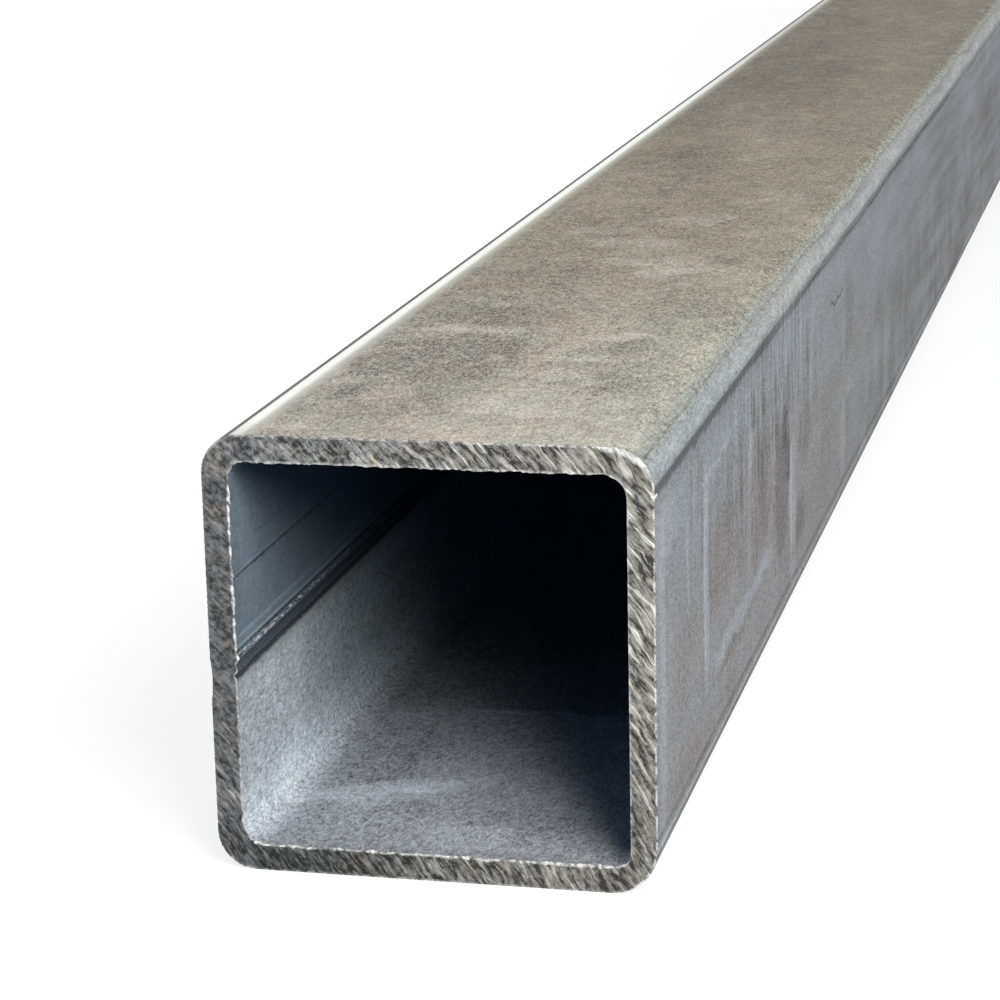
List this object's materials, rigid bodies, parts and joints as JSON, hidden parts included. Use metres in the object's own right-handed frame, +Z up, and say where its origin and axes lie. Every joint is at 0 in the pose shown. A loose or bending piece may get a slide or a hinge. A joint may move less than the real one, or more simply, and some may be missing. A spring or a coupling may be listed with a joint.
{
  "type": "square metal tube",
  "caption": "Straight length of square hollow steel section with rounded corners, an open bore, a weld seam inside one wall and square-sawn ends.",
  "frame": {"origin": "middle of the bottom face's footprint, on the floor that the tube lies on", "axes": "+Y along the tube, away from the end that is seen first, +Z up, +X to the right when looking along +Y; the welded wall is at -X"},
  "size_m": [0.05, 1, 0.05],
  "materials": {
    "mild_steel": "bare mill finish, grey-beige and mottled outside, blue-grey corners, bright saw-cut ends"
  },
  "bodies": {
    "root": {"square_tube": "mild_steel"}
  },
  "joints": []
}
